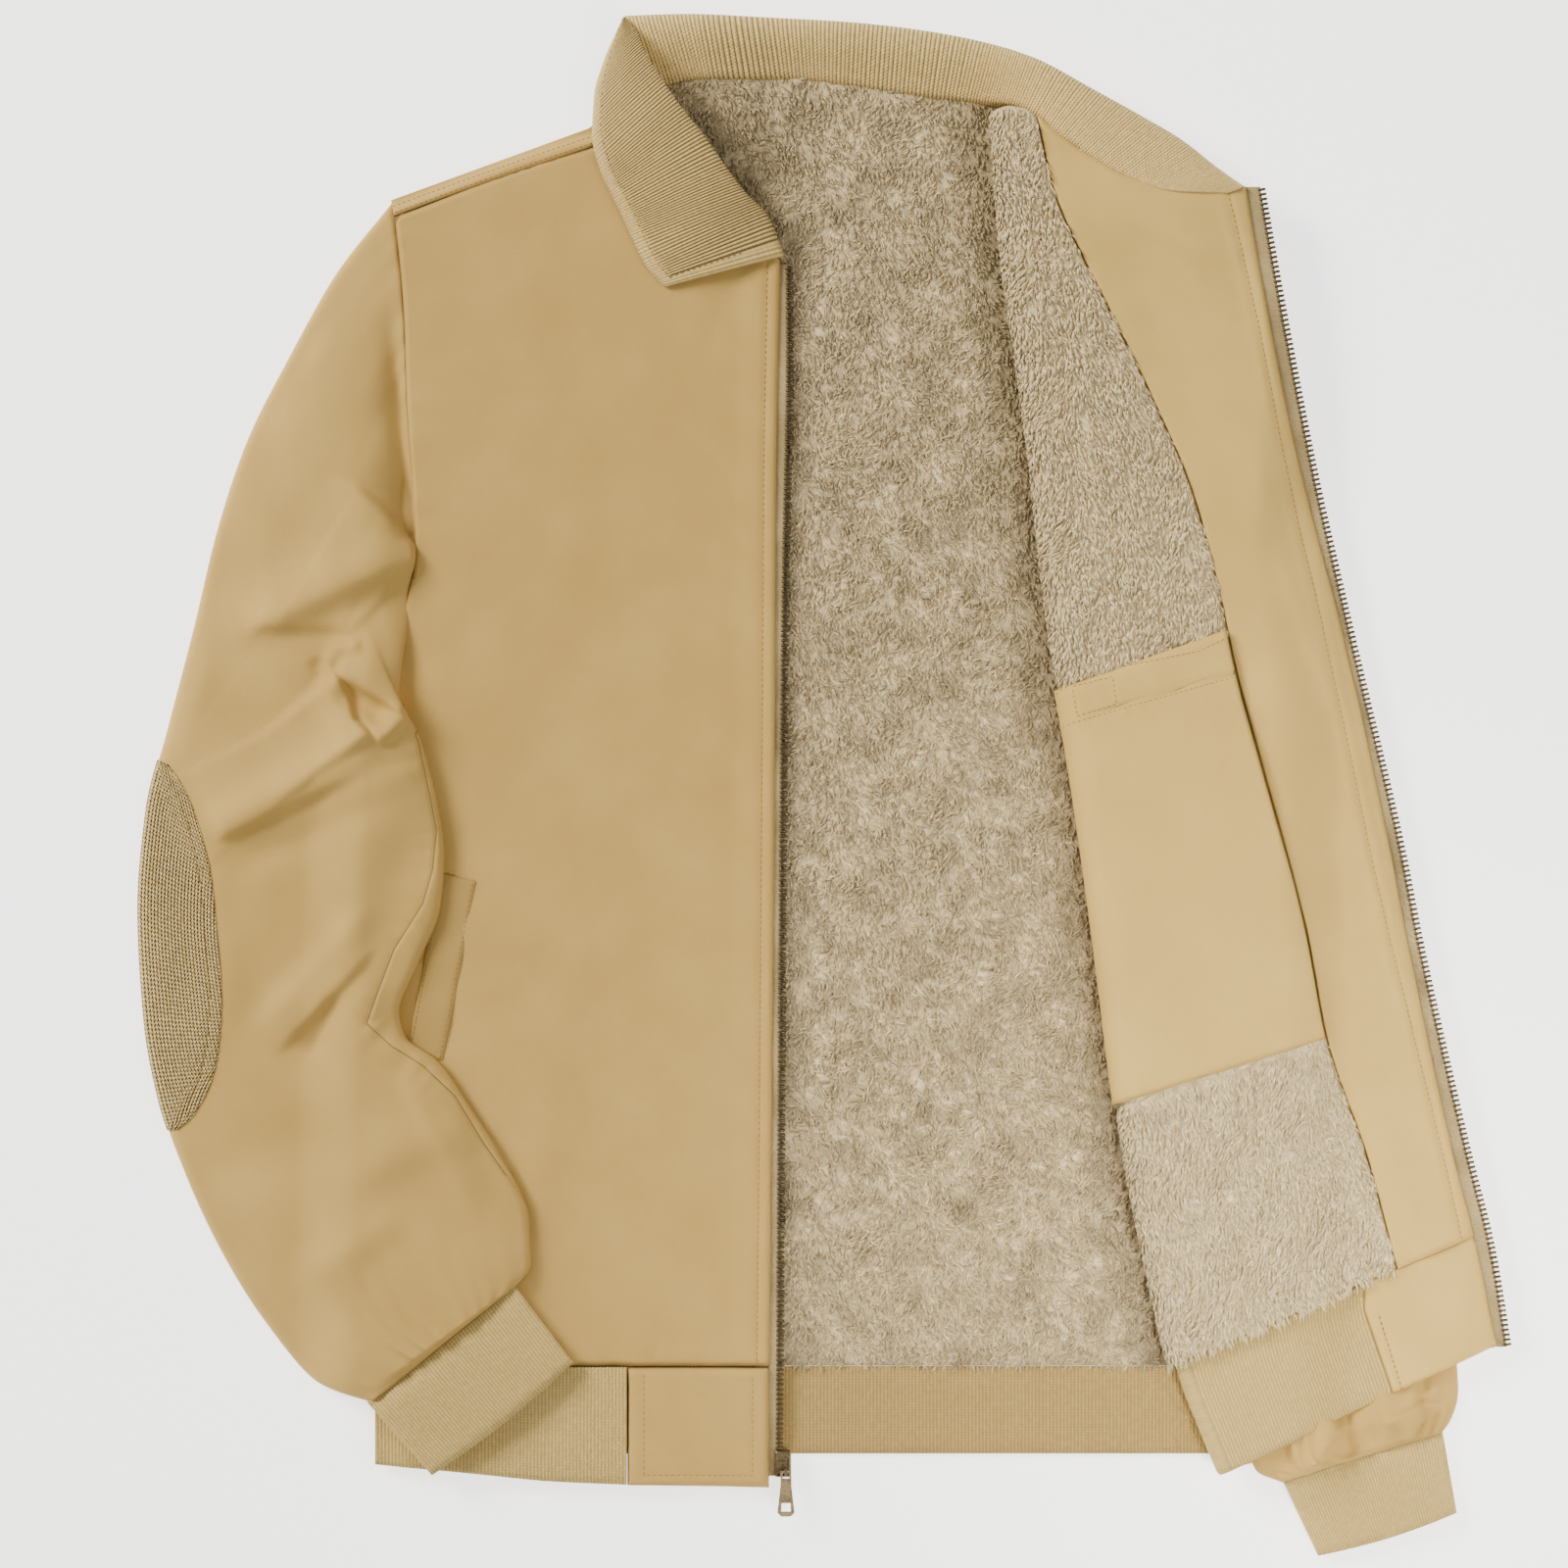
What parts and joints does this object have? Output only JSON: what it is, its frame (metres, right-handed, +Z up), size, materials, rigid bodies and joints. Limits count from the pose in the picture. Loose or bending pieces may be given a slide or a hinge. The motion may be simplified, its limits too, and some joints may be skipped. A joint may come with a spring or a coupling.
{
  "type": "fleece-lined bomber jacket",
  "caption": "Zip-front jacket with fleece lining and rib trim, laid flat with one front folded open.",
  "frame": {"origin": "centre of the laid jacket's outline, on the surface it lies on", "axes": "+Y towards the collar, +X towards the folded-open left front, +Z up from the surface"},
  "size_m": [0.702, 0.7865, 0.0296],
  "materials": {
    "shell": "smooth tan cotton and nylon twill with a faint sheen",
    "fleece": "curly beige fleece pile",
    "rib": "tan rib knit",
    "patch": "coarse ribbed weave, slightly olive",
    "tape": "woven zip tape",
    "zip_metal": "antique brass"
  },
  "bodies": {
    "jacket": {"back": "shell", "back_lining": "fleece", "front_right": "shell", "shoulder_right": "shell", "pocket_welt": "shell", "hem_rib_back": "rib", "hem_rib_right": "rib", "hem_end_right": "shell", "zip_tape_right": "tape", "zip_chain_right": "zip_metal", "sleeve_right_under": "shell", "sleeve_right_top": "shell", "elbow_patch": "patch", "cuff_right": "rib", "front_left": "shell", "lining_left": "fleece", "facing_left": "shell", "inner_pocket": "shell", "hem_rib_left": "rib", "hem_end_left": "shell", "zip_tape_left": "tape", "zip_chain_left": "zip_metal", "sleeve_left_under": "shell", "sleeve_left_top": "shell", "cuff_left": "rib", "collar_leaf": "rib", "collar_stand": "rib", "zip_slider": "zip_metal"},
    "pull_tab": {"zip_pull": "zip_metal"}
  },
  "joints": [
    {"name": "pull_hinge", "type": "hinge", "parent": "jacket", "child": "pull_tab", "pos_m": [-0.019, -0.3506, 0.0113], "axis": [-1, 0, 0], "range_deg": [0, 170]}
  ]
}
